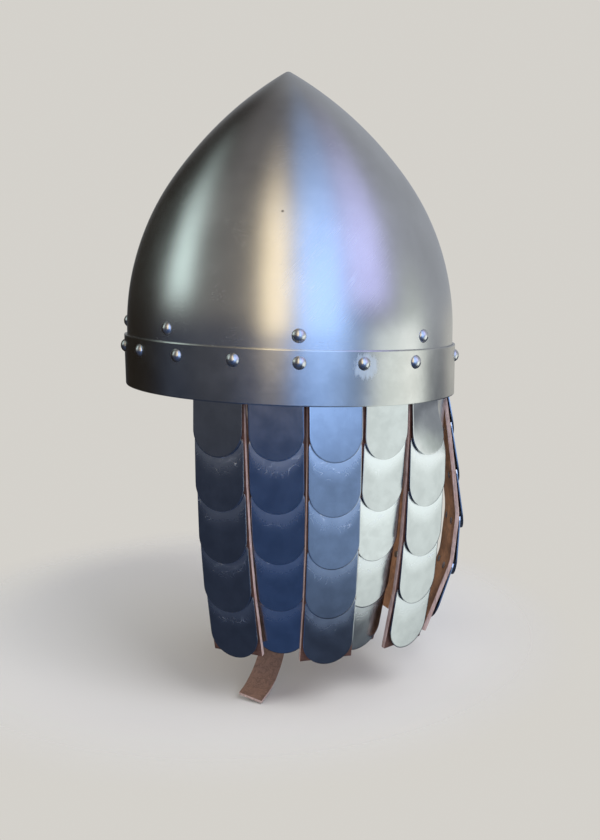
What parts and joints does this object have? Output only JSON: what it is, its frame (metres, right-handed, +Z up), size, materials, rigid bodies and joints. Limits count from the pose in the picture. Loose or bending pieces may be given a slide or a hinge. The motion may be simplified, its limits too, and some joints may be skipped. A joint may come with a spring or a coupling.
{
  "type": "byzantine helmet",
  "caption": "Pointed steel helmet with a riveted brow band, a neck guard of leather strips covered with steel scales, a leather liner and buckled chin straps.",
  "frame": {"origin": "centre of the rim plane on the skull's axis, where the helmet sits round the head", "axes": "+Z up along the skull's axis, the face opening looks along -Y, the wearer's left is +X"},
  "size_m": [0.2278, 0.2333, 0.4062],
  "materials": {
    "steel": "satin, brushed",
    "band_steel": "satin, worn",
    "rivet_steel": "polished",
    "scale_steel": "satin with swirl marks",
    "buckle_steel": "satin",
    "skirt_leather": "red-brown, raw pinkish-tan edges",
    "liner_leather": "matt brown",
    "strap_leather": "worn, tan back"
  },
  "bodies": {
    "shell": {"skull": "steel", "brow_band": "band_steel", "band_rivets": "rivet_steel", "liner_rivets": "rivet_steel", "skirt_ring": "skirt_leather", "sweat_band": "liner_leather", "crown_strap_1": "liner_leather", "crown_strap_2": "liner_leather", "crown_strap_3": "liner_leather", "crown_strap_4": "liner_leather", "crown_button": "rivet_steel"},
    "chin_left": {"chin_strap_left": "strap_leather", "chin_strap_stud": "rivet_steel"},
    "chin_right": {"chin_strap_right": "strap_leather"},
    "buckle": {"buckle_frame": "buckle_steel"},
    "tongue": {"buckle_tongue": "buckle_steel"},
    "strip_1": {"strip_1_leather": "skirt_leather", "strip_1_scales": "scale_steel", "strip_1_rivets": "rivet_steel"},
    "strip_2": {"strip_2_leather": "skirt_leather", "strip_2_scales": "scale_steel", "strip_2_rivets": "rivet_steel"},
    "strip_3": {"strip_3_leather": "skirt_leather", "strip_3_scales": "scale_steel", "strip_3_rivets": "rivet_steel"},
    "strip_4": {"strip_4_leather": "skirt_leather", "strip_4_scales": "scale_steel", "strip_4_rivets": "rivet_steel"},
    "strip_5": {"strip_5_leather": "skirt_leather", "strip_5_scales": "scale_steel", "strip_5_rivets": "rivet_steel"},
    "strip_6": {"strip_6_leather": "skirt_leather", "strip_6_scales": "scale_steel", "strip_6_rivets": "rivet_steel"},
    "strip_7": {"strip_7_leather": "skirt_leather", "strip_7_scales": "scale_steel", "strip_7_rivets": "rivet_steel"},
    "strip_8": {"strip_8_leather": "skirt_leather", "strip_8_scales": "scale_steel", "strip_8_rivets": "rivet_steel"},
    "strip_9": {"strip_9_leather": "skirt_leather", "strip_9_scales": "scale_steel", "strip_9_rivets": "rivet_steel"},
    "strip_10": {"strip_10_leather": "skirt_leather", "strip_10_scales": "scale_steel", "strip_10_rivets": "rivet_steel"},
    "strip_11": {"strip_11_leather": "skirt_leather", "strip_11_scales": "scale_steel", "strip_11_rivets": "rivet_steel"},
    "strip_12": {"strip_12_leather": "skirt_leather", "strip_12_scales": "scale_steel", "strip_12_rivets": "rivet_steel"},
    "strip_13": {"strip_13_leather": "skirt_leather", "strip_13_scales": "scale_steel", "strip_13_rivets": "rivet_steel"}
  },
  "joints": [
    {"name": "strip_1_swing", "type": "hinge", "parent": "shell", "child": "strip_1", "pos_m": [0.09088, -0.04631, 0.0119], "axis": [-0.454, -0.891, 0], "range_deg": [0, 9]},
    {"name": "strip_2_swing", "type": "hinge", "parent": "shell", "child": "strip_2", "pos_m": [0.10113, -0.01331, 0.01055], "axis": [-0.1305, -0.9914, 0], "range_deg": [-6, 0]},
    {"name": "strip_3_swing", "type": "hinge", "parent": "shell", "child": "strip_3", "pos_m": [0.09977, 0.02121, 0.00913], "axis": [0.2079, -0.9781, 0], "range_deg": [0, 9]},
    {"name": "strip_4_swing", "type": "hinge", "parent": "shell", "child": "strip_4", "pos_m": [0.08697, 0.05329, 0.00781], "axis": [0.5225, -0.8526, 0], "range_deg": [-6, 0]},
    {"name": "strip_5_swing", "type": "hinge", "parent": "shell", "child": "strip_5", "pos_m": [0.06419, 0.07927, 0.00675], "axis": [0.7771, -0.6293, 0], "range_deg": [0, 9]},
    {"name": "strip_6_swing", "type": "hinge", "parent": "shell", "child": "strip_6", "pos_m": [0.03405, 0.09615, 0.00605], "axis": [0.9426, -0.3338, 0], "range_deg": [-6, 0]},
    {"name": "strip_7_swing", "type": "hinge", "parent": "shell", "child": "strip_7", "pos_m": [0, 0.102, 0.00581], "axis": [1, 0, 0], "range_deg": [-6, 1]},
    {"name": "strip_8_swing", "type": "hinge", "parent": "shell", "child": "strip_8", "pos_m": [-0.03405, 0.09615, 0.00605], "axis": [0.9426, 0.3338, 0], "range_deg": [-6, 0]},
    {"name": "strip_9_swing", "type": "hinge", "parent": "shell", "child": "strip_9", "pos_m": [-0.06419, 0.07927, 0.00675], "axis": [0.7771, 0.6293, 0], "range_deg": [0, 9]},
    {"name": "strip_10_swing", "type": "hinge", "parent": "shell", "child": "strip_10", "pos_m": [-0.08697, 0.05329, 0.00781], "axis": [0.5225, 0.8526, 0], "range_deg": [-6, 0]},
    {"name": "strip_11_swing", "type": "hinge", "parent": "shell", "child": "strip_11", "pos_m": [-0.09977, 0.02121, 0.00913], "axis": [0.2079, 0.9781, 0], "range_deg": [0, 9]},
    {"name": "strip_12_swing", "type": "hinge", "parent": "shell", "child": "strip_12", "pos_m": [-0.10113, -0.01331, 0.01055], "axis": [-0.1305, 0.9914, 0], "range_deg": [-6, 0]},
    {"name": "strip_13_swing", "type": "hinge", "parent": "shell", "child": "strip_13", "pos_m": [-0.09088, -0.04631, 0.0119], "axis": [-0.454, 0.891, 0], "range_deg": [0, 9]},
    {"name": "chin_left_swing", "type": "hinge", "parent": "shell", "child": "chin_left", "pos_m": [0.10332, 0, 0.0318], "axis": [0, -1, 0], "range_deg": [-12, 0]},
    {"name": "chin_right_swing", "type": "hinge", "parent": "shell", "child": "chin_right", "pos_m": [-0.10332, 0, 0.0318], "axis": [0, 1, 0], "range_deg": [-12, 0]},
    {"name": "buckle_swing", "type": "hinge", "parent": "chin_right", "child": "buckle", "pos_m": [-0.06867, 0, -0.07374], "axis": [0, 1, 0], "range_deg": [-45, 45]},
    {"name": "tongue_swing", "type": "hinge", "parent": "buckle", "child": "tongue", "pos_m": [-0.06867, 0, -0.07374], "axis": [0, 1, 0], "range_deg": [0, 90]}
  ]
}
